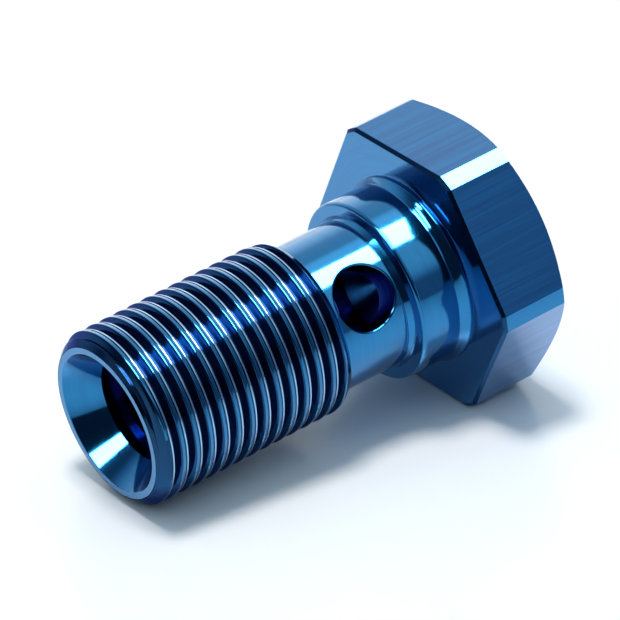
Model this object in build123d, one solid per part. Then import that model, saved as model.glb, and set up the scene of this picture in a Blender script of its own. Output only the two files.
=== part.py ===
from build123d import *
import math
import os

# Banjo bolt, turned and drilled from one hexagon bar, millimetres and degrees.
# It is drawn standing on its thread end: the axis is +Z and that end is at height 0.
# At the end it is laid down as it comes to rest, on one flat of the head and on the thread.

# Thread, drawn as a plain shank at the major diameter, with its lead-in and its run-out
thread_diameter = 14.0
thread_length = 17.5
rim_diameter = 12.2
lead_in_angle = 45.0
run_out_depth = 0.32
run_out_angle = 29.0

# Seat cone, counterbore and blind bore
seat_mouth_diameter = 11.2
seat_cone_angle = 60.0
counterbore_diameter = 8.3
counterbore_depth = 3.7
bore_diameter = 7.0
bore_past_cross_hole = 1.2
drill_point_angle = 118.0

# Neck, the space that the fluid runs round, and the hole through it
neck_diameter = 12.0
neck_length = 5.9
cross_hole_diameter = 5.0
cross_hole_edge_break = 0.2
cross_hole_turn = 56.3
cross_hole_offset = 0.2

# Collar that centres the banjo eye, with the small coned step at its foot
step_foot_diameter = 12.22
step_top_diameter = 12.52
step_length = 0.5
collar_diameter = 14.5
collar_length = 4.4
collar_edge_radius = 0.25

# Cove that runs out of the collar into the coned ring that centres the sealing washer
cove_radius = 0.7
ring_angle = 26.0
ring_diameter = 15.26
ring_edge_height = 0.12

# Hexagon head: what is turned off each corner, and how far its crowned top lies inside the flats
across_flats = 20.6
corner_cut = 0.37
head_height = 6.7
head_edge_break = 0.25
crown_inset = 0.5
crown_angle = 30.0


def slope_length(wide_diameter, narrow_diameter, angle):
    """Axial length of a cone between two diameters, its wall at an angle to the axis."""
    return (wide_diameter - narrow_diameter) / 2 / math.tan(math.radians(angle))


# Widths of the run-out and of the head
run_out_diameter = thread_diameter - 2 * run_out_depth
corner_diameter = across_flats / math.cos(math.radians(30)) - 2 * corner_cut
crown_diameter = across_flats - 2 * crown_inset

# Heights along the axis
lead_in_length = slope_length(thread_diameter, rim_diameter, lead_in_angle)
run_out_start = thread_length - slope_length(thread_diameter, run_out_diameter, run_out_angle)
neck_end = thread_length + neck_length
cross_hole_height = thread_length + neck_length / 2 + cross_hole_offset
bore_depth = cross_hole_height + cross_hole_diameter / 2 + bore_past_cross_hole
collar_face = neck_end + step_length
underside = collar_face + collar_length
ring_edge = underside - ring_edge_height
cove_diameter = collar_diameter + 2 * cove_radius * (1 - math.cos(math.radians(ring_angle)))
cove_end = ring_edge - slope_length(ring_diameter, cove_diameter, ring_angle)
cove_start = cove_end - cove_radius * math.sin(math.radians(ring_angle))
crown_drop = slope_length(corner_diameter, crown_diameter, 90 - crown_angle)
top = underside + head_height


def point(diameter, height):
    """A point of a turned section, from its diameter and its height."""
    return (diameter / 2, height)


def rounded_corner(diameter, height, radius):
    """Quarter round from a face that looks down, at a height, to the side of a diameter."""
    inward = radius * (1 - math.sin(math.pi / 4))
    return ThreePointArc(
        (diameter / 2 - radius, height),
        (diameter / 2 - inward, height + inward),
        (diameter / 2, height + radius),
    )


def shank():
    """The turned outside from the thread end to just inside the head."""
    core_end = underside + head_edge_break
    collar_corner = rounded_corner(collar_diameter, collar_face, collar_edge_radius)
    collar_side = Line(collar_corner @ 1, point(collar_diameter, cove_start))
    cove = TangentArc(collar_side @ 1, point(cove_diameter, cove_end), tangent=(0, 1))
    below_collar = Polyline(
        (0, 0),
        point(rim_diameter, 0),
        point(thread_diameter, lead_in_length),
        point(thread_diameter, run_out_start),
        point(run_out_diameter, thread_length),
        point(neck_diameter, thread_length),
        point(neck_diameter, neck_end),
        point(step_foot_diameter, neck_end),
        point(step_top_diameter, collar_face),
        collar_corner @ 0,
    )
    ring = Polyline(
        cove @ 1,
        point(ring_diameter, ring_edge),
        point(ring_diameter, core_end),
        (0, core_end),
        (0, 0),
    )
    section = [below_collar, collar_corner, collar_side, cove, ring]
    return revolve(Plane.XZ * make_face(section), Axis.Z)


def head():
    """Hexagon bar with turned corners, a crowned top and a small break round the underside."""
    bar = extrude(RegularPolygon(across_flats / 2, 6, major_radius=False, rotation=30), head_height)
    turned = Cylinder(corner_diameter / 2, head_height, align=(Align.CENTER, Align.CENTER, Align.MIN))
    blank = Pos(0, 0, underside) * (bar & turned)
    blank = chamfer(blank.edges().group_by(Axis.Z)[0], head_edge_break)
    crown = Polyline(
        (0, underside),
        point(corner_diameter, underside),
        point(corner_diameter, top - crown_drop),
        point(crown_diameter, top),
        (0, top),
        (0, underside),
    )
    return blank & revolve(Plane.XZ * make_face(crown), Axis.Z)


def bore():
    """Seat cone, counterbore and blind drilled bore, as the metal that they remove."""
    seat_depth = slope_length(seat_mouth_diameter, counterbore_diameter, seat_cone_angle / 2)
    point_depth = slope_length(bore_diameter, 0, drill_point_angle / 2)
    section = Polyline(
        (0, 0),
        point(seat_mouth_diameter, 0),
        point(counterbore_diameter, seat_depth),
        point(counterbore_diameter, counterbore_depth),
        point(bore_diameter, counterbore_depth),
        point(bore_diameter, bore_depth),
        (0, bore_depth + point_depth),
        (0, 0),
    )
    return revolve(Plane.XZ * make_face(section), Axis.Z)


def cross_drill(solid):
    """Drills the hole across the neck, through both walls, and breaks its two outer edges."""
    hole = Cylinder(cross_hole_diameter / 2, thread_diameter, rotation=(0, 90, 0))
    hole = Pos(0, 0, cross_hole_height) * Rot(0, 0, cross_hole_turn) * hole
    drilled = solid - hole
    return chamfer(mouths(drilled), cross_hole_edge_break)


def mouths(solid):
    """The edges where the cross hole leaves the outside of the neck."""
    low = cross_hole_height - cross_hole_diameter / 2
    high = cross_hole_height + cross_hole_diameter / 2
    found = []
    for edge in solid.edges():
        box = edge.bounding_box()
        middle = edge @ 0.5
        from_axis = math.hypot(middle.X, middle.Y)
        inside_hole = low - 0.01 < box.min.Z and box.max.Z < high + 0.01
        if inside_hole and from_axis > (bore_diameter + neck_diameter) / 4:
            found.append(edge)
    return found


def laid_down(solid):
    """Lays the bolt on the near edge of one flat and on the first full thread, on z = 0."""
    run = underside + head_edge_break - lead_in_length
    tilt = math.atan2((across_flats - thread_diameter) / 2, run)
    along = Vector(math.cos(tilt), 0, math.sin(tilt))
    up = Vector(-math.sin(tilt), 0, math.cos(tilt))
    lying = Plane(origin=(0, 0, 0), x_dir=up, z_dir=along).location * solid
    box = lying.bounding_box()
    return Pos(-box.center().X, -box.center().Y, -box.min.Z) * lying


def banjo_bolt():
    """The whole bolt, one solid."""
    solid = shank() + head() - bore()
    solid = cross_drill(solid)
    return laid_down(solid.solid())


os.makedirs("parts", exist_ok=True)
bolt = banjo_bolt()
bolt.label = "banjo_bolt"
export_step(bolt, "parts/banjo_bolt.step")
print("banjo_bolt", bolt.is_valid, round(bolt.volume, 2), bolt.bounding_box())
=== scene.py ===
"""Looks of a banjo bolt, turned, threaded and cross-drilled in blue anodised aluminium, on a pale floor."""

import logging
import math
from dataclasses import dataclass, field
from enum import Enum

import bpy
import numpy as np
from mathutils import Matrix, Vector


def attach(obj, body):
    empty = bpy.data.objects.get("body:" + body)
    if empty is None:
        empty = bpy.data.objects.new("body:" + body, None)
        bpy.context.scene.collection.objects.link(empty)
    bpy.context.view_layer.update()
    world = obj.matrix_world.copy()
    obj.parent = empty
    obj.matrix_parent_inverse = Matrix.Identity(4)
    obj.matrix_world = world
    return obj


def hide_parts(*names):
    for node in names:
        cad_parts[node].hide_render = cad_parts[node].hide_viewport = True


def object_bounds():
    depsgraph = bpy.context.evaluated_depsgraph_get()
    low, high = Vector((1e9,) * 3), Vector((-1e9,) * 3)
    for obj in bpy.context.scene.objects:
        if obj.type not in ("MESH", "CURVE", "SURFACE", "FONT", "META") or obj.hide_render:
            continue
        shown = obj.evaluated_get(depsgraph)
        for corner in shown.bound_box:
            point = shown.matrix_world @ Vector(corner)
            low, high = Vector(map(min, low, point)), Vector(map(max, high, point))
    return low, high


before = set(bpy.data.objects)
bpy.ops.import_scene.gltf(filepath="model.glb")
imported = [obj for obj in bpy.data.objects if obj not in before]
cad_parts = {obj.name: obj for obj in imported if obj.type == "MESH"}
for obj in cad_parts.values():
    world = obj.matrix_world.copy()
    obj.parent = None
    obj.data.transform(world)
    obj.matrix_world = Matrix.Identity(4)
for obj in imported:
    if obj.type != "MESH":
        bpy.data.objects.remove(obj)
cad_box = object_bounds()

LOG = logging.getLogger("banjo_bolt")
MM = 0.001
TURN = 2 * math.pi
Pair = tuple[float, float]


class Hand(Enum):
    """Which way a thread climbs, as the sign of its lead."""

    RIGHT = 1
    LEFT = -1


class Surface(Enum):
    """How a face of the bolt was cut, or the painted shade or painted highlight that it carries, as the
    material slot that it takes.
    """

    TURNED = 0
    BRUSHED = 1
    BORED = 2
    FORMED = 3
    LIP = 4


@dataclass
class Patch:
    """One face as a grid: points and outward normals in the bolt's own frame, and a place on the tool marks.

    The bolt's own frame is (along the axis, up, towards the near side) in millimetres, from the thread end.
    The marks run along each place's second number, and the first counts across them, both in millimetres.
    All its quads take the surface's slot, or each its own where the slots are given.
    """

    points: np.ndarray
    normals: np.ndarray | list[float]
    marks: np.ndarray
    surface: Surface = Surface.TURNED
    slots: np.ndarray | None = None

    def __post_init__(self) -> None:
        """Gives each point a normal where one is shared."""
        self.normals = np.broadcast_to(self.normals, self.points.shape)


@dataclass(frozen=True)
class Lay:
    """How the bolt lies: on one flat of its head and on its thread."""

    across_flats: float = 20.6
    thread_diameter: float = 14.0
    rim_diameter: float = 12.2
    lead_in: float = 0.9
    head_contact: float = 28.55

    @property
    def tilt(self) -> float:
        """Slope of the axis, from the two circles that touch the floor."""
        return math.atan2((self.across_flats - self.thread_diameter) / 2, self.head_contact - self.lead_in)

    @property
    def turn(self) -> np.ndarray:
        """The own frame's three directions in the row frame, one a row."""
        c, s = math.cos(self.tilt), math.sin(self.tilt)
        return np.array([[c, 0, s], [-s, 0, c], [0, -1, 0]])

    def shift(self, low_x: float) -> np.ndarray:
        """Place of the thread end's centre in the row frame.

        Args:
            low_x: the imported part's lowest x, in millimetres.

        Returns:
            The place in millimetres.
        """
        c, _, s = self.turn[0]
        height = self.thread_diameter / 2 * c - self.lead_in * s
        return np.array([low_x + self.rim_diameter / 2 * s, 0, height])


@dataclass(frozen=True)
class Columns:
    """Angles of the grid's columns round the axis, so that the hexagon's corners fall on a column.

    Each sixth has one flat and one corner's turned land. An angle counts from straight up to the near side.
    """

    apothem: float
    corner: float
    on_flat: int = 20
    on_land: int = 4

    @property
    def per_sixth(self) -> int:
        """Columns in one sixth of a turn."""
        return self.on_flat + self.on_land

    def angles(self) -> np.ndarray:
        """All columns, with the first again at the end, a whole turn on.

        Returns:
            For each sixth, equal steps over the flat, twice the arc cosine of apothem / corner wide, and
            then over the land.
        """
        half = math.acos(self.apothem / self.corner)
        flat = np.linspace(-half, half, self.on_flat, endpoint=False)
        land = np.linspace(half, TURN / 6 - half, self.on_land, endpoint=False)
        sixth = np.concatenate([flat, land])
        return np.append((sixth + TURN / 6 * np.arange(6)[:, None]).ravel(), TURN - half)


def round_axis(along: np.ndarray, radius: np.ndarray, angle: np.ndarray) -> np.ndarray:
    """Points from cylinder coordinates: (along, radius times cosine, radius times sine of the angle)."""
    along, radius, angle = np.broadcast_arrays(along, radius, angle)
    return np.stack([along, radius * np.cos(angle), radius * np.sin(angle)], axis=-1)


def shares(rows: int) -> np.ndarray:
    """Shares from 0 to 1 in equal steps, one a row."""
    return np.linspace(0, 1, rows + 1)[:, None]


def pairs(first: np.ndarray, second: np.ndarray) -> np.ndarray:
    """Two arrays, broadcast together, as the two numbers of each place."""
    return np.stack(np.broadcast_arrays(first, second), axis=-1)


def unit(vectors: np.ndarray) -> np.ndarray:
    """The vectors, each divided by its length."""
    return vectors / np.linalg.norm(vectors, axis=-1, keepdims=True)


def slope_normals(slope: np.ndarray, angle: np.ndarray) -> np.ndarray:
    """Normals of a turned face, from their (axial, radial) parts and the angle round the axis."""
    return unit(round_axis(slope[..., 0], slope[..., 1], angle))


@dataclass
class Section:
    """Turns a section about the axis. Each piece is a patch that starts where the last one ended.

    A piece that runs towards the head faces out, and one that runs back faces in. Its marks are as long as
    at its mean radius, or as at least_reach if that is more.
    """

    angles: np.ndarray
    place: Pair
    surface: Surface = Surface.TURNED
    least_reach: float = 0.5
    travelled: float = 0.0
    patches: list[Patch] = field(default_factory=list)

    def _turn(self, places: np.ndarray, slopes: np.ndarray) -> None:
        """Adds the patch of some places and normals of the section.

        Args:
            places: (axial place, radius) of each row.
            slopes: (axial, radial) parts of each row's normal.
        """
        steps = np.linalg.norm(np.diff(places, axis=0), axis=1)
        across = self.travelled + np.concatenate([[0.0], np.cumsum(steps)])
        marks = pairs(across[:, None], self.angles * max(places[:, 1].mean(), self.least_reach))
        points = round_axis(places[:, :1], places[:, 1:], self.angles)
        normals = slope_normals(slopes[:, None, :], self.angles)
        self.patches.append(Patch(points, normals, marks, self.surface))
        self.place, self.travelled = tuple(places[-1]), across[-1]

    def line(self, to: Pair, rows: int = 1) -> "Section":
        """A straight piece: place = start + share times (end - start), with one normal square to it.

        Args:
            to: (axial place, radius) where the piece ends.
            rows: grid rows along it.

        Returns:
            The section, to go on from.
        """
        start, end = np.array(self.place), np.array(to)
        run = unit(end - start)
        self._turn(start + shares(rows) * (end - start), np.array([[-run[1], run[0]]]))
        return self

    def bend(self, to: Pair, start_run: Pair, rows: int = 6) -> "Section":
        """A circular piece that leaves along a direction.

        It turns by twice the angle between that direction and its chord.

        Args:
            to: (axial place, radius) where the piece ends.
            start_run: direction in which it leaves, as (axial, radial).
            rows: grid rows along it.

        Returns:
            The section, to go on from.
        """
        start, chord = np.array(self.place), np.subtract(to, self.place)
        leave = unit(np.array(start_run, float))
        turning = 2 * math.atan2(leave[0] * chord[1] - leave[1] * chord[0], leave @ chord)
        radius = np.linalg.norm(chord) / (2 * math.sin(turning / 2))
        left = np.array([-leave[1], leave[0]])
        swept = turning * shares(rows)
        places = start + radius * (np.sin(swept) * leave + (1 - np.cos(swept)) * left)
        places[-1] = to
        self._turn(places, np.cos(swept) * left - np.sin(swept) * leave)
        return self


@dataclass(frozen=True)
class Bore:
    """Seat cone, counterbore and blind drilled bore in the thread end."""

    seat_angle: float = 60.0
    mouth_radius: float = 5.6
    mouth_break: float = 0.06
    counterbore_radius: float = 4.15
    seat_depth: float = 2.5115
    counterbore_depth: float = 3.7
    radius: float = 3.5
    depth: float = 24.35
    point_depth: float = 2.103

    def inner(self, angles: np.ndarray) -> list[Patch]:
        """The drill point."""
        section = Section(angles, (self.depth + self.point_depth, 0.0), Surface.BORED)
        return section.line((self.depth, self.radius), rows=6).patches

    def outer(self, angles: np.ndarray) -> list[Patch]:
        """The counterbore and the seat cone, as far as the rim's inner edge.

        Args:
            angles: the grid's columns.

        Returns:
            The patches, from the bore's end of the counterbore to the rim.
        """
        section = Section(angles, (self.counterbore_depth, self.radius), Surface.BORED)
        section.line((self.counterbore_depth, self.counterbore_radius), rows=2)
        section.line((self.seat_depth, self.counterbore_radius), rows=3)
        section.surface = Surface.TURNED
        lean = math.radians(self.seat_angle / 2)
        edge = (self.mouth_break * math.cos(lean), self.mouth_radius - self.mouth_break * math.sin(lean))
        section.line(edge, rows=6)
        section.bend((0.0, self.mouth_radius + self.mouth_break), (-math.cos(lean), math.sin(lean)), rows=4)
        return section.patches


def soft_least(first: np.ndarray, second: np.ndarray, blend: float) -> np.ndarray:
    """The lesser of two heights, less (blend - difference) squared by four blends where they are close."""
    close = np.clip(blend - np.abs(first - second), 0, None)
    return np.minimum(first, second) - close**2 / (4 * blend)


@dataclass(frozen=True)
class Thread:
    """The metric thread with its lead-in and run-out, from the rim to the shoulder of the neck.

    The tool has left each crest with a rounded first edge, a flat that falls a little towards the head, a
    fine seam and a lip. Offsets count from the crest's middle, along the axis.
    """

    hand: Hand = Hand.LEFT
    pitch: float = 1.25
    first_crest: float = 1.16
    length: float = 17.5
    crest_radius: float = 6.995
    root_radius: float = 6.345
    first_edge: float = -0.22
    last_edge: float = 0.29
    fall_angle: float = 10.0
    seam: float = 0.12
    seam_half: float = 0.04
    seam_depth: float = 0.05
    flank_angle: float = 28.5
    first_round: float = 0.14
    last_round: float = 0.06
    root_round: float = 0.08
    end_round: float = 0.05
    root_steps: Pair = (0.02, 0.05)
    spare_turns: int = 3
    rim_radius: float = 6.1
    rim_break: float = 0.05
    lead_in: float = 0.75
    run_out_radius: float = 6.68
    run_out_angle: float = 29.0
    neck_radius: float = 6.0

    @property
    def valley(self) -> float:
        """Offset of the groove's middle, halfway from one crest's last edge to the next one's first."""
        return (self.last_edge + self.first_edge + self.pitch) / 2

    def radius(self, along: np.ndarray, angle: np.ndarray) -> np.ndarray:
        """Height of the thread: the least of crest, both flanks, lead-in and run-out, and at least the root.

        A flank falls from the crest's edge by the distance past it / tan(flank angle). The seam is a bell
        curve cut from the crest.

        Args:
            along: axial places.
            angle: angles round the axis.

        Returns:
            The radii.
        """
        middle = self.first_crest + self.hand.value * self.pitch * angle / TURN
        offset = (along - middle - self.valley) % self.pitch + self.valley - self.pitch
        steep = math.tan(math.radians(self.flank_angle))
        flat = self.crest_radius - (offset - self.first_edge) * math.tan(math.radians(self.fall_angle))
        height = soft_least(flat, self.crest_radius - (self.first_edge - offset) / steep, self.first_round)
        height = height - self.seam_depth * np.exp(-(((offset - self.seam) / self.seam_half) ** 2))
        height = soft_least(height, self.crest_radius - (offset - self.last_edge) / steep, self.last_round)
        height = -soft_least(-height, -self.root_radius, self.root_round)
        cone = self.rim_radius + self.rim_break + along
        run_out = self.run_out_radius + (self.length - along) * math.tan(math.radians(self.run_out_angle))
        return soft_least(soft_least(height, cone, self.end_round), run_out, self.end_round)

    def steps(self) -> tuple[np.ndarray, np.ndarray]:
        """Offsets of the grid's rows over one pitch, close together at the corners of the profile.

        Returns:
            The offsets from one groove's middle to the next, and the slot of the band that each row starts.
        """
        lean = math.tan(math.radians(self.flank_angle))
        # Rows across a rounded corner and across the seam, as shares of their half widths
        corner = lean * np.array([-1.0, -0.6, -0.25, 0.15, 0.55, 1.0])
        seam = self.seam + self.seam_half * np.array([-1.9, -1.1, -0.5, 0.0, 0.5, 1.1, 1.9])
        first = self.first_edge + self.first_round * corner
        last = self.last_edge + self.last_round * corner
        foot = (self.crest_radius - self.root_radius) * lean
        from_root = np.array([*self.root_steps, foot / 2])
        before = self.first_edge - foot + from_root
        after = np.append(self.last_edge + foot - from_root[::-1], self.valley)
        # The bands change a few rows inside the rounded corners and the seam
        # Painted shade on the root, the flanks, the first edge's start and the seam; a painted highlight on
        # the lip from the seam over the last edge; the crest's flat keeps the turned colour
        kinds = [Surface.FORMED, Surface.TURNED, Surface.FORMED, Surface.LIP, Surface.FORMED]
        counts = [before.size + 3, first.size - 2, seam.size - 2, last.size, after.size + 1]
        slots = np.repeat([kind.value for kind in kinds], counts)
        return np.concatenate([before, first, seam, last, after]), slots

    def helix(self, angles: np.ndarray) -> Patch:
        """The threaded face: row places = row step + lead times angle / turn, held between rim and shoulder.

        Its normal is (radial) - (radius's change along the axis) x (axial) - (its change round the axis /
        radius) x (around).

        Args:
            angles: the grid's columns.

        Returns:
            The patch, from the rim's edge to the shoulder's, with a slot for each of its bands.
        """
        # Spare turns, so that the rows reach both ends all round
        turns = np.arange(-self.spare_turns, math.ceil(self.length / self.pitch) + self.spare_turns)
        steps, bands = self.steps()
        rows = (self.first_crest + self.pitch * turns[:, None] + steps).ravel()
        along = rows[:, None] + self.hand.value * self.pitch * angles / TURN
        along = np.clip(along, 0.0, self.length)
        radius, small = self.radius(along, angles), 1e-4
        slope = (self.radius(along + small, angles) - self.radius(along - small, angles)) / (2 * small)
        twist = (self.radius(along, angles + small) - self.radius(along, angles - small)) / (2 * small)
        outward, around = round_axis(0, 1, angles), round_axis(0, 1, angles + TURN / 4)
        normals = unit(outward - slope[..., None] * [1, 0, 0] - (twist / radius)[..., None] * around)
        marks = pairs(along, angles * self.crest_radius)
        points = round_axis(along, radius, angles)
        bands = np.tile(bands, turns.size)[:-1, None]
        # The whole lead-in takes the dark slot: painted shade, as in the grooves
        slots = np.where(along[:-1, :-1] > self.lead_in, bands, Surface.FORMED.value)
        return Patch(points, normals, marks, Surface.FORMED, slots)

    def shoulder(self, angles: np.ndarray) -> Patch:
        """Flat ring from the run-out's edge in to the neck: radius = edge + share times (neck - edge).

        Args:
            angles: the grid's columns.

        Returns:
            The patch.
        """
        edge = self.radius(np.full_like(angles, self.length), angles)
        radius = edge + shares(2) * (self.neck_radius - edge)
        ring = round_axis(self.length, radius, angles)
        return Patch(ring, [1.0, 0, 0], pairs(radius, angles * self.neck_radius))

    def patches(self, angles: np.ndarray, mouth: float) -> list[Patch]:
        """The rim, the threaded face and the shoulder.

        Args:
            angles: the grid's columns.
            mouth: radius of the rim's inner edge.

        Returns:
            The patches in order.
        """
        rim = Section(angles, (0.0, mouth)).line((0.0, self.rim_radius), rows=2)
        return rim.patches + [self.helix(angles), self.shoulder(angles)]


@dataclass(frozen=True)
class CrossHole:
    """The hole across the neck, through both walls, with a broken edge at each mouth (turn in radians)."""

    middle: float = 20.65
    turn: float = math.radians(56.3)
    radius: float = 2.5
    edge_break: float = 0.2
    neck_radius: float = 6.0
    bore_radius: float = 3.5
    neck_half_window: int = 14
    bore_half_window: int = 20
    bore_window_reach: float = 2.62
    neck_rows: int = 28
    bore_rows: int = 16
    edge_rows: int = 6
    wall_rows: int = 8

    def on_cylinder(self, reach: float, spin: np.ndarray, cylinder: float, side: float) -> np.ndarray:
        """Where a cylinder about the hole's axis meets one about the bolt's.

        The place is (middle + reach x sine, turn + arc sine of reach x cosine / cylinder).

        Args:
            reach: radius about the hole's axis.
            spin: angles about the hole's axis.
            cylinder: radius about the bolt's axis.
            side: 0 for the near mouth, half a turn for the far one.

        Returns:
            (along, angle) of each spin.
        """
        along = self.middle + reach * np.sin(spin)
        return pairs(along, self.turn + side + np.arcsin(reach * np.cos(spin) / cylinder))

    @staticmethod
    def border(along: np.ndarray, angles: np.ndarray) -> np.ndarray:
        """The edge of a window of a cylinder's grid, anticlockwise seen from outside.

        It starts at the middle of the window's last column.

        Args:
            along: the window's rows.
            angles: the window's columns.

        Returns:
            (along, angle) of each place, the first again at the end.
        """
        half = along.size // 2
        sides = [
            (along[half:-1], angles[-1]),
            (along[-1], angles[:0:-1]),
            (along[:0:-1], angles[0]),
            (along[0], angles[:-1]),
            (along[: half + 1], angles[-1]),
        ]
        return np.concatenate([pairs(*side) for side in sides])

    def _skin(self, first: np.ndarray, last: np.ndarray, cylinder: float, facing: float,
              surface: Surface) -> Patch:
        """A cylinder's face between two loops: (along, angle) = first + share times (last - first).

        Args:
            first: (along, angle) of the loop that it starts from.
            last: the loop that it ends on.
            cylinder: its radius.
            facing: 1 for an outside, -1 for an inside.
            surface: how it was cut.

        Returns:
            The patch.
        """
        place = first + shares(self.edge_rows)[..., None] * (last - first)
        points = round_axis(place[..., 0], cylinder, place[..., 1])
        normals = round_axis(0, facing, place[..., 1])
        return Patch(points, normals, place * [1, cylinder], surface)

    def mouth(self, side: float, neck_border: np.ndarray, bore_border: np.ndarray) -> list[Patch]:
        """One wall of the hole: the neck's skin round it, the rounded edge, the wall and the bore's skin.

        The edge is a quarter round: its reach falls from radius + break by break x sine, and its height by
        break x (1 - cosine). The wall is middle + radius x sine along the bolt and radius x cosine
        across it, at depths from the edge to the bore.

        Args:
            side: 0 for the near mouth, half a turn for the far one.
            neck_border: edge of the window left in the neck.
            bore_border: edge of the window left in the bore.

        Returns:
            The patches from outside to inside.
        """
        lateral = self.neck_radius * np.sin(neck_border[:, 1] - self.turn - side)
        spin = np.unwrap(np.arctan2(neck_border[:, 0] - self.middle, lateral))
        wide = self.on_cylinder(self.radius + self.edge_break, spin, self.neck_radius, side)
        inner = self.on_cylinder(self.radius, spin, self.bore_radius, side)
        axis = round_axis(0, 1, self.turn + side)
        across = round_axis(0, 1, self.turn + side + TURN / 4)
        forward = np.array([1.0, 0, 0])
        ray = np.cos(spin)[:, None] * across + np.sin(spin)[:, None] * forward
        off_axis = self.radius * np.cos(spin)
        high = np.sqrt(self.neck_radius**2 - off_axis**2) - self.edge_break
        low = np.sqrt(self.bore_radius**2 - off_axis**2)
        bend = TURN / 4 * shares(self.edge_rows)
        reach = self.radius + self.edge_break * (1 - np.sin(bend))
        top = np.sqrt(self.neck_radius**2 - (reach * np.cos(spin))**2) - self.edge_break * (1 - np.cos(bend))
        ring = self.middle * forward + reach[..., None] * ray + top[..., None] * axis
        skin = round_axis(0, 1, wide[:, 1])
        ring_normals = unit(np.cos(bend)[..., None] * skin - np.sin(bend)[..., None] * ray)
        depth = high + shares(self.wall_rows) * (low - high)
        wall = self.middle * forward + self.radius * ray + depth[..., None] * axis
        around = spin * self.radius
        return [
            self._skin(neck_border, wide, self.neck_radius, 1, Surface.TURNED),
            Patch(ring, ring_normals, pairs(reach, around)),
            Patch(wall, -ray, pairs(depth, around), Surface.BORED),
            self._skin(inner, bore_border, self.bore_radius, -1, Surface.BORED),
        ]


@dataclass(frozen=True)
class Neck:
    """The thin neck and the bore in it, two cylinders with a window round either mouth of the cross hole."""

    start: float = 17.5
    end: float = 23.36
    rows_before: int = 8
    hole: CrossHole = CrossHole()

    def cylinder(self, along: np.ndarray, angles: np.ndarray, radius: float, facing: float,
                 windows: list[tuple[slice, slice]], surface: Surface) -> list[Patch]:
        """A cylinder's grid without its windows, as the bands between and beside them.

        Args:
            along: rows, from the thread end on.
            angles: columns.
            radius: of the cylinder.
            facing: 1 for an outside, -1 for an inside.
            windows: rows and columns that each window takes, in order of column.
            surface: how it was cut.

        Returns:
            The patches.
        """
        points = round_axis(along[:, None], radius, angles)
        normals = np.broadcast_to(round_axis(0, facing, angles), points.shape)
        marks = pairs(along[:, None], angles * radius)
        rows = windows[0][0]
        pieces = [(slice(0, rows.start + 1), slice(None)), (slice(rows.stop - 1, None), slice(None))]
        edges = [0]
        for _, columns in windows:
            edges += [columns.start, columns.stop - 1]
        edges.append(angles.size - 1)
        pieces += [(rows, slice(edges[k], edges[k + 1] + 1)) for k in range(0, len(edges), 2)]
        kept = [piece for piece in pieces if min(points[piece].shape[:2]) > 1]
        flip = slice(None, None, -1) if facing < 0 else slice(None)
        return [Patch(points[p][flip], normals[p][flip], marks[p][flip], surface) for p in kept]

    def patches(self, columns: Columns, bore: Bore) -> list[Patch]:
        """The neck's skin, the bore's wall and both walls of the cross hole.

        Args:
            columns: the grid's columns.
            bore: the bore that the cross hole meets.

        Returns:
            The patches.
        """
        angles, hole = columns.angles(), self.hole
        neck_rows = np.linspace(self.start, self.end, hole.neck_rows + 1)
        reach = hole.bore_window_reach
        window_rows = np.linspace(hole.middle - reach, hole.middle + reach, hole.bore_rows + 1)
        before = np.linspace(bore.counterbore_depth, window_rows[0], self.rows_before, endpoint=False)
        bore_rows = np.concatenate([before, window_rows, [bore.depth]])
        nearest = int(np.abs(angles - hole.turn).argmin())
        neck_windows, bore_windows, patches = [], [], []
        for side in (0, 1):
            middle = nearest + side * 3 * columns.per_sixth
            neck_part = slice(middle - hole.neck_half_window, middle + hole.neck_half_window + 1)
            bore_part = slice(middle - hole.bore_half_window, middle + hole.bore_half_window + 1)
            neck_windows.append((slice(0, neck_rows.size), neck_part))
            bore_windows.append((slice(before.size, before.size + window_rows.size), bore_part))
            borders = (hole.border(neck_rows, angles[neck_part]), hole.border(window_rows, angles[bore_part]))
            patches += hole.mouth(side * TURN / 2, *borders)
        patches += self.cylinder(neck_rows, angles, hole.neck_radius, 1, neck_windows, Surface.TURNED)
        patches += self.cylinder(bore_rows, angles, hole.bore_radius, -1, bore_windows, Surface.BORED)
        return patches


@dataclass(frozen=True)
class Collar:
    """The step at the neck's end, the collar that centres the eye, the cove and the ring under the head.

    The ring's cone is a little hollow: over its length it turns by ring_hollow degrees.
    """

    neck_radius: float = 6.0
    flare: Pair = (23.39, 6.02)
    step_foot: Pair = (23.4, 6.11)
    step_top: Pair = (23.9, 6.26)
    collar_radius: float = 7.25
    collar_round: float = 0.25
    tool_line: float = 0.03
    cove_start: float = 27.239
    cove_end: Pair = (27.546, 7.321)
    ring_edge: Pair = (28.18, 7.63)
    ring_hollow: float = 13.0
    ring_round: float = 0.1
    undercut: float = 0.06
    underside: float = 28.3

    def patches(self, angles: np.ndarray, start: float) -> list[Patch]:
        """The whole stretch from the neck's end to the head's underside.

        Args:
            angles: the grid's columns.
            start: where the neck's cylinder ends.

        Returns:
            The patches in order.
        """
        section = Section(angles, (start, self.neck_radius))
        section.bend(self.flare, (1, 0), rows=4)
        section.line((self.step_foot[0], self.flare[1]))
        section.line(self.step_foot)
        section.line(self.step_top, rows=2)
        face, side = self.step_top[0], self.collar_radius
        section.line((face, side - self.collar_round), rows=3)
        round_end = face + self.collar_round
        section.bend((round_end, side), (0, 1), rows=8)
        section.line((round_end + self.tool_line, side - self.tool_line))
        section.line((round_end + 2 * self.tool_line, side))
        section.line((self.cove_start, side), rows=8)
        section.bend(self.cove_end, (1, 0))
        edge = np.array(self.ring_edge)
        rise = unit(edge - self.cove_end)
        half = math.radians(self.ring_hollow) / 2
        c, s = math.cos(half), math.sin(half)
        leave = (rise[0] * c + rise[1] * s, rise[1] * c - rise[0] * s)
        section.bend(tuple(edge - self.ring_round * rise), leave)
        section.bend((edge[0] + self.ring_round / 2, edge[1] - self.undercut / 2), tuple(rise))
        section.line((self.underside, edge[1] - self.undercut), rows=2)
        return section.patches


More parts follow.
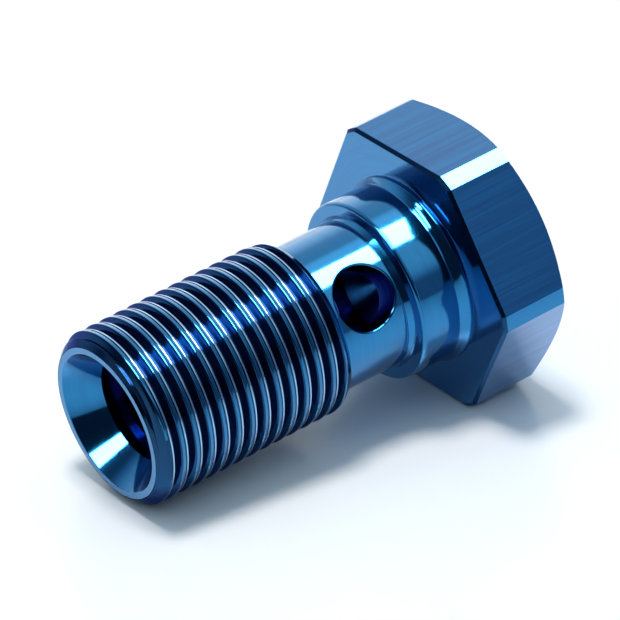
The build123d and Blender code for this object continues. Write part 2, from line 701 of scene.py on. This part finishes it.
@dataclass(frozen=True)
class Head:
    """Hexagon head with turned corners, a broken lower edge and a crowned top."""

    apothem: float = 10.3
    corner: float = 11.5234
    underside: float = 28.3
    edge_break: float = 0.25
    top: float = 35.0
    crown_radius: float = 9.8
    crown_angle: float = 30.0
    ring_radius: float = 7.57
    lip_marks: float = 1.0
    side_rows: int = 8
    underside_rows: int = 6
    crown_rows: int = 4
    top_rows: int = 8

    def outline(self, columns: Columns, inset: float) -> tuple[np.ndarray, np.ndarray]:
        """The hexagon with its turned corners.

        The radius is apothem / cosine of the angle from the flat's middle, up to the corner's radius.

        Args:
            columns: the grid's columns.
            inset: how far the whole outline lies inside the full size.

        Returns:
            Angles and radii, with a flat's end on its column at any inset.
        """
        moved = Columns(self.apothem - inset, self.corner - inset, columns.on_flat, columns.on_land)
        angles = moved.angles()
        from_flat = (angles + TURN / 12) % (TURN / 6) - TURN / 12
        return angles, np.minimum(moved.apothem / np.cos(from_flat), moved.corner)

    def crown_height(self, radius: np.ndarray) -> np.ndarray:
        """Axial place of the crown: top - (radius - crown radius) x tan(crown angle)."""
        return self.top - (radius - self.crown_radius) * math.tan(math.radians(self.crown_angle))

    def sides(self, columns: Columns) -> list[Patch]:
        """The six flats and the six lands, with the broken edge below each.

        A flat's normal is its own direction, and a land's points from the axis. The broken edge leans half a
        right angle from it, and its marks are lip_marks wide.

        Args:
            columns: the grid's columns.

        Returns:
            The patches.
        """
        low_angles, low_radii = self.outline(columns, self.edge_break)
        angles, radii = self.outline(columns, 0.0)
        foot = self.underside + self.edge_break
        along = foot + shares(self.side_rows) * (self.crown_height(radii) - foot)
        wall = round_axis(along, radii, angles)
        lip = np.stack([round_axis(self.underside, low_radii, low_angles), round_axis(foot, radii, angles)])
        patches = []
        for start in range(0, 6 * columns.per_sixth, columns.per_sixth):
            corner = start + columns.on_flat
            middle = (angles[start] + angles[corner]) / 2
            flat, land = slice(start, corner + 1), slice(corner, start + columns.per_sixth + 1)
            kinds = ((flat, middle, Surface.BRUSHED), (land, angles[land], Surface.TURNED))
            for part, facing, surface in kinds:
                around = angles[part] * self.apothem
                out = round_axis(0, 1, facing)
                lean = unit(out - [1.0, 0, 0])
                patches.append(Patch(wall[:, part], out, pairs(around, along[:, part]), surface))
                low_marks = pairs(around, np.array([[foot - self.lip_marks], [foot]]))
                # The broken edge below each flat and land is painted dark navy: a painted shade line along
                # the head's lower edge
                patches.append(Patch(lip[:, part], lean, low_marks, Surface.FORMED))
        return patches

    def faces(self, columns: Columns) -> list[Patch]:
        """The underside round the ring, the crown and the top.

        Args:
            columns: the grid's columns.

        Returns:
            The patches. The underside's places are ring + share times (outline - ring), in angle and radius.
        """
        angles, radii = self.outline(columns, 0.0)
        low_angles, low_radii = self.outline(columns, self.edge_break)
        share = shares(self.underside_rows)
        radius = self.ring_radius + share * (low_radii - self.ring_radius)
        angle = angles + share * (low_angles - angles)
        under = round_axis(self.underside, radius, angle)
        patches = [Patch(under, [-1.0, 0, 0], pairs(radius, angle * self.apothem))]
        radius = radii + shares(self.crown_rows) * (self.crown_radius - radii)
        crown = round_axis(self.crown_height(radius), radius, angles)
        lean = math.radians(self.crown_angle)
        slope = np.array([math.cos(lean), math.sin(lean)])
        patches.append(Patch(crown, slope_normals(slope, angles), pairs(radius, angles * self.apothem)))
        patches += Section(angles, (self.top, self.crown_radius)).line((self.top, 0.0), self.top_rows).patches
        return patches


def linear(hex_colour: str) -> tuple[float, float, float, float]:
    """Turns an sRGB hex value, such as "#2C82B3", to linear light.

    Args:
        hex_colour: the value.

    Returns:
        Linear red, green and blue, and full opacity.
    """
    parts = [int(hex_colour[k:k + 2], 16) / 255 for k in (1, 3, 5)]
    red, green, blue = (p / 12.92 if p <= 0.04045 else ((p + 0.055) / 1.055) ** 2.4 for p in parts)
    return red, green, blue, 1.0


def empty_tree(owner: bpy.types.ID) -> bpy.types.NodeTree:
    """Switches on the nodes of a material or a world, and empties them.

    Args:
        owner: the material or the world.

    Returns:
        Its node tree.
    """
    owner.use_nodes = True
    owner.node_tree.nodes.clear()
    return owner.node_tree


def add_object(name: str, data: bpy.types.ID) -> bpy.types.Object:
    """Makes an object and links it to the scene.

    Args:
        name: the object's name.
        data: the mesh, light or camera that it shows.

    Returns:
        The object.
    """
    made = bpy.data.objects.new(name, data)
    bpy.context.scene.collection.objects.link(made)
    return made


def add_node(tree: bpy.types.NodeTree, kind: str, inputs: dict | None = None,
             **settings: object) -> bpy.types.Node:
    """Adds a node with its settings, and fills or links its sockets.

    Args:
        tree: the node tree.
        kind: the node's type name, after ShaderNode.
        inputs: socket name or number to a value, or to the socket that feeds it.
        settings: properties of the node.

    Returns:
        The node.
    """
    node = tree.nodes.new("ShaderNode" + kind)
    for name, value in settings.items():
        setattr(node, name, value)
    for name, value in (inputs or {}).items():
        if isinstance(value, bpy.types.NodeSocket):
            tree.links.new(value, node.inputs[name])
        else:
            node.inputs[name].default_value = value
    return node


@dataclass(frozen=True)
class AnodisedAluminium:
    """Blue dyed anodised aluminium: the dye tints the metal's mirror, and the clear oxide gives white glints.

    The grazing colour tints what the metal mirrors at a glancing angle. The tool marks are narrow ridges
    along the second number of the UV map. Real ones are about 0.02 mm wide, too fine for the picture, so they
    are drawn mark_width wide, with broader and longer bands among them.
    """

    name: str
    colour: str = "#1278B0"
    shade: str = "#0F649C"
    roughness: Pair = (0.08, 0.12)
    oxide: float = 0.42
    oxide_roughness: float = 0.07
    oxide_ior: float = 1.62
    grazing: str = "#FFFFFF"
    mark_width: float = 0.14
    mark_length: float = 30.0
    mark_height: float = 0.0006
    shade_share: float = 0.35
    broad_scale: Pair = (0.22, 0.5)
    broad_share: float = 0.4
    noise_span: Pair = (0.35, 0.65)

    def _noise(self, tree: bpy.types.NodeTree, scale: Pair, detail: float,
               roughness: float) -> bpy.types.NodeSocket:
        """Noise drawn out along the marks.

        Args:
            tree: the node tree.
            scale: how often it repeats, for each mark's width and length.
            detail: how many finer layers it has.
            roughness: how strong they are.

        Returns:
            The socket of its value.
        """
        place = add_node(tree, "UVMap", uv_map="tool_marks").outputs["UV"]
        drawn_out = (scale[0] / self.mark_width, scale[1] / self.mark_length, 1)
        place = add_node(tree, "Mapping", {"Vector": place, "Scale": drawn_out}).outputs["Vector"]
        inputs = {"Vector": place, "Scale": 1.0, "Detail": detail, "Roughness": roughness}
        return add_node(tree, "TexNoise", inputs, noise_dimensions="2D").outputs["Fac"]

    def material(self) -> bpy.types.Material:
        """The finish as a material.

        Returns:
            The material. Its marks are noise that moves height, roughness and shade.
        """
        material = bpy.data.materials.new(self.name)
        tree = empty_tree(material)
        ridge = self._noise(tree, (1, 1), detail=2.0, roughness=0.6)
        band = self._noise(tree, self.broad_scale, detail=1.0, roughness=0.5)
        both = add_node(tree, "Mix", {0: self.broad_share, 2: ridge, 3: band}).outputs[0]
        span = {"Value": both, "From Min": self.noise_span[0], "From Max": self.noise_span[1]}
        spread = add_node(tree, "MapRange", span).outputs[0]
        share = {0: spread, 1: self.shade_share}
        tone = add_node(tree, "Math", share, operation="MULTIPLY").outputs[0]
        dyes = {0: tone, 6: linear(self.colour), 7: linear(self.shade)}
        tint = add_node(tree, "Mix", dyes, data_type="RGBA").outputs[2]
        polish = {"Value": spread, "To Min": self.roughness[0], "To Max": self.roughness[1]}
        rough = add_node(tree, "MapRange", polish).outputs[0]
        relief = {"Height": ridge, "Strength": 1.0, "Distance": self.mark_height * MM}
        bump = add_node(tree, "Bump", relief).outputs[0]
        shader = add_node(tree, "BsdfPrincipled", {
            "Base Color": tint, "Metallic": 1.0, "Roughness": rough, "Normal": bump,
            "Specular Tint": linear(self.grazing), "Coat Weight": self.oxide,
            "Coat Roughness": self.oxide_roughness, "Coat IOR": self.oxide_ior, "Coat Normal": bump,
        }).outputs[0]
        add_node(tree, "OutputMaterial", {"Surface": shader})
        return material


FINISHES = {
    # Turned to a fine feed and bright dipped, so it mirrors the lights crisply
    Surface.TURNED: AnodisedAluminium("anodised_aluminium_turned"),
    # Drawn bar left as it came: satin flats with long streaks along the bar
    Surface.BRUSHED: AnodisedAluminium(
        "anodised_aluminium_brushed", colour="#1677B6", shade="#105C9A", roughness=(0.13, 0.19),
        oxide=0.65, oxide_roughness=0.14, oxide_ior=1.5,
        mark_width=0.16, mark_length=9.0, mark_height=0.0022, shade_share=0.8),
    # Drilled inside: rougher, and painted darker with a dark grazing tint as painted shade inside the holes
    Surface.BORED: AnodisedAluminium(
        "anodised_aluminium_drilled_and_shaded", colour="#17558F", shade="#134A80", roughness=(0.14, 0.2),
        oxide=0.1, oxide_roughness=0.14, grazing="#1C4A78", mark_width=0.4, mark_height=0.0),
    # Cut with a form tool and painted dark navy: painted shade in the grooves, on the lead-in and on the edge
    # breaks
    Surface.FORMED: AnodisedAluminium(
        "anodised_aluminium_painted_shade", colour="#103E64", shade="#0D3458", roughness=(0.09, 0.14),
        oxide=0.15, grazing="#7FA6D8"),
    # The thread's sharp lips are coloured pale blue: a painted highlight that draws thin pale lines
    Surface.LIP: AnodisedAluminium(
        "anodised_aluminium_painted_highlight", colour="#9CC4E4", shade="#7FB0DA", mark_height=0.0),
}


@dataclass(frozen=True)
class BanjoBolt:
    """The whole bolt as one closed mesh. Points join on a grid of so many cells a millimetre."""

    lay: Lay = Lay()
    bore: Bore = Bore()
    thread: Thread = Thread()
    neck: Neck = Neck()
    collar: Collar = Collar()
    head: Head = Head()
    cells: float = 10007.0
    cell_shift: float = 0.3137

    def patches(self) -> list[Patch]:
        """All faces of the bolt, from the drill point out along the bore and back over the outside.

        Returns:
            The patches.
        """
        columns = Columns(self.head.apothem, self.head.corner)
        angles = columns.angles()
        found = self.bore.inner(angles) + self.bore.outer(angles)
        found += self.thread.patches(angles, self.bore.mouth_radius + self.bore.mouth_break)
        found += self.neck.patches(columns, self.bore)
        found += self.collar.patches(angles, self.neck.end)
        return found + self.head.sides(columns) + self.head.faces(columns)

    def mesh(self, low_x: float) -> bpy.types.Mesh:
        """Joins the patches: points in one cell of a fine grid become one, and repeated corners go.

        Args:
            low_x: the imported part's lowest x in millimetres.

        Returns:
            The mesh in the row frame, in metres.
        """
        points, normals, marks, quads, slots, first = [], [], [], [], [], 0
        for patch in self.patches():
            rows, count = patch.points.shape[:2]
            index = first + np.arange(rows * count).reshape(rows, count)
            ring = [index[:-1, :-1], index[:-1, 1:], index[1:, 1:], index[1:, :-1]]
            quads.append(np.stack(ring, axis=-1).reshape(-1, 4))
            one_slot = np.full(len(quads[-1]), patch.surface.value)
            slots.append(one_slot if patch.slots is None else patch.slots.ravel())
            points.append(patch.points.reshape(-1, 3))
            normals.append(patch.normals.reshape(-1, 3))
            marks.append(patch.marks.reshape(-1, 2))
            first += rows * count
        points, normals, marks, quads, slots = map(np.concatenate, (points, normals, marks, quads, slots))
        keys = np.floor(points * self.cells + self.cell_shift).astype(np.int64)
        _, kept, merged = np.unique(keys, axis=0, return_index=True, return_inverse=True)
        shared = merged.ravel()[quads]
        real = shared != np.roll(shared, 1, axis=1)
        whole = real.sum(axis=1) > 2
        shared, real, corners, slots = shared[whole], real[whole], quads[whole], slots[whole]
        loops = corners[real]
        sizes = real.sum(axis=1)
        mesh = bpy.data.meshes.new("banjo_bolt_body")
        mesh.vertices.add(kept.size)
        places = (points[kept] @ self.lay.turn + self.lay.shift(low_x)) * MM
        mesh.vertices.foreach_set("co", places.astype(np.float32).ravel())
        mesh.loops.add(loops.size)
        mesh.loops.foreach_set("vertex_index", shared[real].astype(np.int32))
        mesh.polygons.add(sizes.size)
        mesh.polygons.foreach_set("loop_start", np.concatenate([[0], np.cumsum(sizes)[:-1]]).astype(np.int32))
        mesh.polygons.foreach_set("material_index", slots.astype(np.int32))
        mesh.polygons.foreach_set("use_smooth", np.ones(sizes.size, bool))
        layer = mesh.uv_layers.new(name="tool_marks")
        layer.data.foreach_set("uv", marks[loops].astype(np.float32).ravel())
        mesh.update(calc_edges=True)
        mesh.validate()
        mesh.normals_split_custom_set((normals[loops] @ self.lay.turn).astype(np.float32))
        return mesh

    def build(self, low: Vector) -> bpy.types.Object:
        """Makes the bolt's object, dresses it and lets it stand for the CAD node.

        Args:
            low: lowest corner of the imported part's box, in metres.

        Returns:
            The object.
        """
        body = add_object("banjo_bolt_body", self.mesh(low.x / MM))
        for surface in Surface:
            body.data.materials.append(FINISHES[surface].material())
        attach(body, "root")
        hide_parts("banjo_bolt")
        return body


def heading(azimuth: float, elevation: float) -> Vector:
    """Unit vector at an azimuth and an elevation in degrees. Azimuth 0 is +Y and 90 is +X."""
    a, e = math.radians(azimuth), math.radians(elevation)
    return Vector((math.sin(a) * math.cos(e), math.cos(a) * math.cos(e), math.sin(e)))


@dataclass(frozen=True)
class Glow:
    """A soft bright part of the studio, full within one angle of a direction and gone at another."""

    azimuth: float
    elevation: float
    full: float
    fades: float
    light: float


class Reach(Enum):
    """What a studio light shows on: the polished faces that mirror it, or the matt floor that it lights."""

    MIRRORED = "mirrored"
    FLOOR = "floor"


@dataclass(frozen=True)
class Softbox:
    """A rectangular studio light above the bolt, square to the bolt's own up direction.

    Its place and size are multiples of its height. The spin is that of its long side, from the bolt's axis to
    the near side. No two lights share a height, or one of them would be missing from the reflections.
    """

    name: str
    height: float
    along: float
    near: float
    long: float
    wide: float
    spin: float
    light: float
    reach: Reach
    colour: str = "#FFFFFF"

    def build(self, turn: np.ndarray) -> None:
        """Makes the light: power = radiance x pi x area.

        Args:
            turn: the bolt's own directions in the row frame, one a row.
        """
        lamp = bpy.data.lights.new(self.name, "AREA")
        lamp.shape = "RECTANGLE"
        lamp.size, lamp.size_y = self.long * self.height, self.wide * self.height
        lamp.energy = self.light * math.pi * lamp.size * lamp.size_y
        lamp.color = linear(self.colour)[:3]
        box = add_object(self.name, lamp)
        spin = math.radians(self.spin)
        place = Vector([self.along, 1.0, self.near] @ turn * self.height)
        side, up = Vector([math.cos(spin), 0.0, math.sin(spin)] @ turn), Vector(turn[1])
        axes = Matrix((side, up.cross(side), up)).transposed().to_4x4()
        box.matrix_world = Matrix.Translation(place) @ axes
        box.visible_diffuse = self.reach is Reach.FLOOR
        box.visible_glossy = self.reach is Reach.MIRRORED


@dataclass(frozen=True)
class Studio:
    """Pale floor, soft light and the camera, whose eye is in millimetres."""

    base: float = 0.05
    dim_colour: str = "#B8CFFF"
    glows: tuple[Glow, ...] = (
        Glow(40, 5, 50, 95, 0.8),
        Glow(27, 5, 8, 36, 0.55),
        Glow(155, 48, 3, 30, 0.95),
        Glow(152, 8, 5, 30, 0.25),
        Glow(64, 66, 2, 15, 0.8),
        Glow(-75, 30, 5, 30, 0.45),
    )
    softboxes: tuple[Softbox, ...] = (
        Softbox("key_softbox", 0.6, 0.36, 0.155, 0.72, 0.5, -4.0, 28.0, Reach.MIRRORED),
        Softbox("ring_softbox", 0.7, -0.36, -0.12, 0.1, 0.14, 12.0, 30.0, Reach.MIRRORED),
        Softbox("cross_strip", 0.55, -0.2, 0.145, 0.08, 0.5, 0.0, 26.0, Reach.MIRRORED),
        Softbox("seat_softbox", 0.12, -0.713, 0.125, 0.16, 0.48, 14.0, 30.0, Reach.MIRRORED),
        Softbox("floor_key", 0.5, 0.0, -0.03, 0.24, 0.24, 0.0, 37.0, Reach.FLOOR, "#FFF6EE"),
        Softbox("floor_fill", 0.9, 0.119, 0.0, 3.0, 3.0, 0.0, 1.15, Reach.FLOOR, "#C8E0F0"),
    )
    eye: tuple[float, float, float] = (-192.22, -264.14, 191.21)
    azimuth: float = 36.197
    elevation: float = 28.987
    roll: float = -1.255
    lens: float = 290.32
    sensor: float = 36.0
    clip: Pair = (0.01, 20.0)
    floor_reach: float = 3.0

    def sky(self) -> None:
        """The studio that the bolt mirrors: base light plus, for each glow, its light in directions near it.

        The colour goes from dim_colour to white as the light grows to 1.
        """
        world = bpy.data.worlds.new("studio")
        bpy.context.scene.world = world
        tree = empty_tree(world)
        direction = add_node(tree, "TexCoord").outputs["Generated"]
        total = self.base
        for glow in self.glows:
            towards = {0: direction, 1: heading(glow.azimuth, glow.elevation)}
            near = add_node(tree, "VectorMath", towards, operation="DOT_PRODUCT").outputs["Value"]
            low, high = math.cos(math.radians(glow.fades)), math.cos(math.radians(glow.full))
            ramp = {"Value": near, "From Min": low, "From Max": high, "To Max": glow.light}
            part = add_node(tree, "MapRange", ramp, interpolation_type="SMOOTHSTEP").outputs[0]
            total = add_node(tree, "Math", {0: total, 1: part}, operation="ADD").outputs[0]
        colours = {0: total, 6: linear(self.dim_colour), 7: linear("#FFFFFF")}
        tint = add_node(tree, "Mix", colours, data_type="RGBA").outputs[2]
        light = add_node(tree, "Background", {"Color": tint, "Strength": total}).outputs[0]
        add_node(tree, "OutputWorld", {"Surface": light})
        world.cycles_visibility.diffuse = False

    def floor(self) -> None:
        """A wide sheet of white satin acrylic."""
        side = np.array([-1.0, 1.0]) * self.floor_reach
        corners = np.stack(np.meshgrid(side, side, [0.0]), axis=-1).reshape(-1, 3)
        mesh = bpy.data.meshes.new("studio_floor")
        mesh.from_pydata(corners.tolist(), [], [(0, 1, 3, 2)])
        material = bpy.data.materials.new("acrylic_white_satin")
        tree = empty_tree(material)
        look = {"Base Color": linear("#F4F6F8"), "Roughness": 0.22, "IOR": 1.49}
        shader = add_node(tree, "BsdfPrincipled", look).outputs[0]
        add_node(tree, "OutputMaterial", {"Surface": shader})
        mesh.materials.append(material)
        sheet = add_object("studio_floor", mesh)

    def camera(self) -> None:
        """The camera at the photograph's angle: its view is turned from +Y, tipped down and rolled."""
        ahead = heading(self.azimuth, -self.elevation)
        level = ahead.cross(Vector((0, 0, 1))).normalized()
        roll = math.radians(self.roll)
        right = level * math.cos(roll) + level.cross(ahead) * math.sin(roll)
        up = right.cross(ahead)
        lens = bpy.data.cameras.new("camera")
        lens.lens, lens.sensor_width = self.lens, self.sensor
        lens.clip_start, lens.clip_end = self.clip
        camera = add_object("camera", lens)
        axes = Matrix((right, up, -ahead)).transposed().to_4x4()
        camera.matrix_world = Matrix.Translation(Vector(self.eye) * MM) @ axes
        bpy.context.scene.camera = camera

    def build(self, turn: np.ndarray) -> None:
        """Sets up the studio, its floor and lights, and the camera.

        Args:
            turn: the bolt's own directions in the row frame, one a row.
        """
        self.sky()
        self.floor()
        for softbox in self.softboxes:
            softbox.build(turn)
        self.camera()
        bpy.context.scene.view_settings.view_transform = "Standard"


def main() -> None:
    """Builds the bolt and the studio."""
    logging.basicConfig(level=logging.INFO, format="%(message)s")
    bolt = BanjoBolt()
    body = bolt.build(cad_box[0])
    LOG.info("%s: %d faces", body.name, len(body.data.polygons))
    studio = Studio()
    studio.build(bolt.lay.turn)
    LOG.info("studio: %d lights", len(studio.softboxes))


if __name__ == "__main__":
    main()
